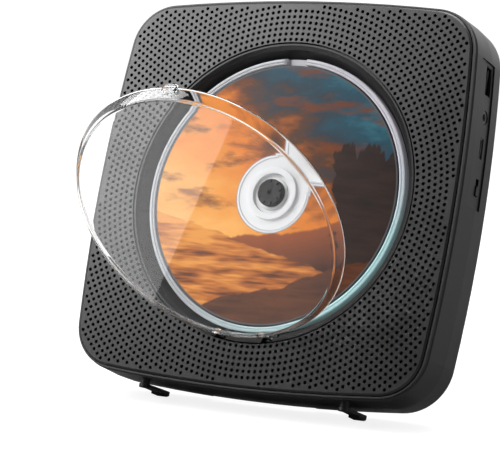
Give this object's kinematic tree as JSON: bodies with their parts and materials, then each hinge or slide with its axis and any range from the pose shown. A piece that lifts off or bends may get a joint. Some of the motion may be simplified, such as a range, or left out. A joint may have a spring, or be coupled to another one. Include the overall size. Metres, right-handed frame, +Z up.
{
  "type": "desktop compact disc player",
  "caption": "Square desktop disc player leaning on a kickstand, with a perforated face, a round disc well under a clear hinged lid, and ports on one side.",
  "frame": {"origin": "on the desk, under the middle of the box of the standing player", "axes": "+Z up from the desk, -Y the way the face looks, +X to the right of someone facing it"},
  "size_m": [0.1824, 0.15, 0.1795],
  "materials": {
    "charcoal_metal": "satin charcoal paint on a perforated sheet",
    "charcoal_plastic": "fine-grained satin moulding",
    "black_plastic": "satin black moulding",
    "white_plastic": "plain white moulding",
    "clear_plastic": "polished clear moulding",
    "frosted_plastic": "translucent light-guide moulding",
    "disc_print": "lacquered print on clear polycarbonate",
    "steel": "plain bright steel",
    "black_steel": "blackened steel",
    "ferrite": "pressed ferrite with a steel yoke",
    "rubber": "soft rubber",
    "paper": "pressed black paper",
    "board": "lacquered fibreglass",
    "chip": "moulded packages",
    "cell_wrap": "shrink wrap",
    "lens": "coated lens in a black barrel"
  },
  "bodies": {
    "cabinet": {"front_grille": "charcoal_metal", "housing": "charcoal_plastic", "rear_cover": "charcoal_plastic", "cover_screws": "black_steel", "disc_well": "black_plastic", "lid_hinge_pins": "steel", "light_ring": "frosted_plastic", "spindle_motor": "steel", "mechanism_chassis": "black_plastic", "guide_rods": "steel", "damper_bushes": "rubber", "chassis_screws": "steel", "sled_motor": "steel", "speaker_frame_left": "black_steel", "speaker_cone_left": "paper", "speaker_magnet_left": "ferrite", "speaker_frame_right": "black_steel", "speaker_cone_right": "paper", "speaker_magnet_right": "ferrite", "speaker_screws": "black_steel", "main_board": "board", "board_screws": "steel", "board_chips": "chip", "battery_pack": "cell_wrap", "usb_socket": "steel", "charge_socket": "steel", "headphone_jack": "black_plastic", "power_switch_body": "steel", "key_board": "board", "key_board_screws": "steel", "tact_switches": "black_plastic", "kickstand_pin": "steel", "foot_pivot_screws": "black_steel"},
    "lid": {"lid": "clear_plastic"},
    "kickstand": {"kickstand": "charcoal_plastic", "kickstand_pad": "rubber"},
    "foot_left": {"swivel_foot_left": "charcoal_plastic", "foot_pad_left": "rubber"},
    "foot_right": {"swivel_foot_right": "charcoal_plastic", "foot_pad_right": "rubber"},
    "turntable": {"turntable_hub": "white_plastic", "spindle_cap": "black_plastic", "spindle_shaft": "steel", "disc": "disc_print"},
    "pickup": {"pickup_sled": "black_plastic", "pickup_lens": "lens"},
    "lead_screw": {"lead_screw": "steel"},
    "power_switch": {"power_switch_knob": "black_plastic"},
    "key_mode": {"key_mode": "charcoal_plastic"},
    "key_previous": {"key_previous": "charcoal_plastic"},
    "key_play": {"key_play": "charcoal_plastic"},
    "key_next": {"key_next": "charcoal_plastic"},
    "key_volume": {"key_volume": "charcoal_plastic"}
  },
  "joints": [
    {"name": "lid_hinge", "type": "hinge", "parent": "cabinet", "child": "lid", "pos_m": [0, -0.01051, 0.03434], "axis": [1, 0, 0], "range_deg": [-48.8, 31.2]},
    {"name": "kickstand_hinge", "type": "hinge", "parent": "cabinet", "child": "kickstand", "pos_m": [0, 0.04291, 0.09289], "axis": [1, 0, 0], "range_deg": [-30, 0]},
    {"name": "foot_left_swivel", "type": "hinge", "parent": "cabinet", "child": "foot_left", "pos_m": [-0.05, -0.01504, 0.00845], "axis": [0, 0.3746, 0.9272], "range_deg": [-90, 0]},
    {"name": "foot_right_swivel", "type": "hinge", "parent": "cabinet", "child": "foot_right", "pos_m": [0.05, -0.01504, 0.00845], "axis": [0, 0.3746, 0.9272], "range_deg": [0, 90]},
    {"name": "disc_spin", "type": "hinge", "parent": "cabinet", "child": "turntable", "pos_m": [0, 0.01655, 0.09491], "axis": [0, 0.9272, -0.3746], "continuous": true},
    {"name": "pickup_slide", "type": "slide", "parent": "cabinet", "child": "pickup", "axis": [-1, 0, 0], "range_m": [0, 0.032]},
    {"name": "lead_screw_turn", "type": "hinge", "parent": "cabinet", "child": "lead_screw", "pos_m": [-0.04, 0.02143, 0.08323], "axis": [1, 0, 0], "range_deg": [0, 3841]},
    {"name": "power_switch_slide", "type": "slide", "parent": "cabinet", "child": "power_switch", "axis": [0, 0.3746, 0.9272], "range_m": [0, 0.003]},
    {"name": "key_mode_press", "type": "slide", "parent": "cabinet", "child": "key_mode", "axis": [0, -0.3746, -0.9272], "range_m": [0, 0.0006], "stiffness_N_per_m": 800},
    {"name": "key_previous_press", "type": "slide", "parent": "cabinet", "child": "key_previous", "axis": [0, -0.3746, -0.9272], "range_m": [0, 0.0006], "stiffness_N_per_m": 800},
    {"name": "key_play_press", "type": "slide", "parent": "cabinet", "child": "key_play", "axis": [0, -0.3746, -0.9272], "range_m": [0, 0.0006], "stiffness_N_per_m": 800},
    {"name": "key_next_press", "type": "slide", "parent": "cabinet", "child": "key_next", "axis": [0, -0.3746, -0.9272], "range_m": [0, 0.0006], "stiffness_N_per_m": 800},
    {"name": "key_volume_press", "type": "slide", "parent": "cabinet", "child": "key_volume", "axis": [0, -0.3746, -0.9272], "range_m": [0, 0.0006], "stiffness_N_per_m": 800}
  ],
  "couplings": [
    {"joint": "lead_screw_turn", "follows": "pickup_slide", "rad_per_m": 2094.4}
  ]
}
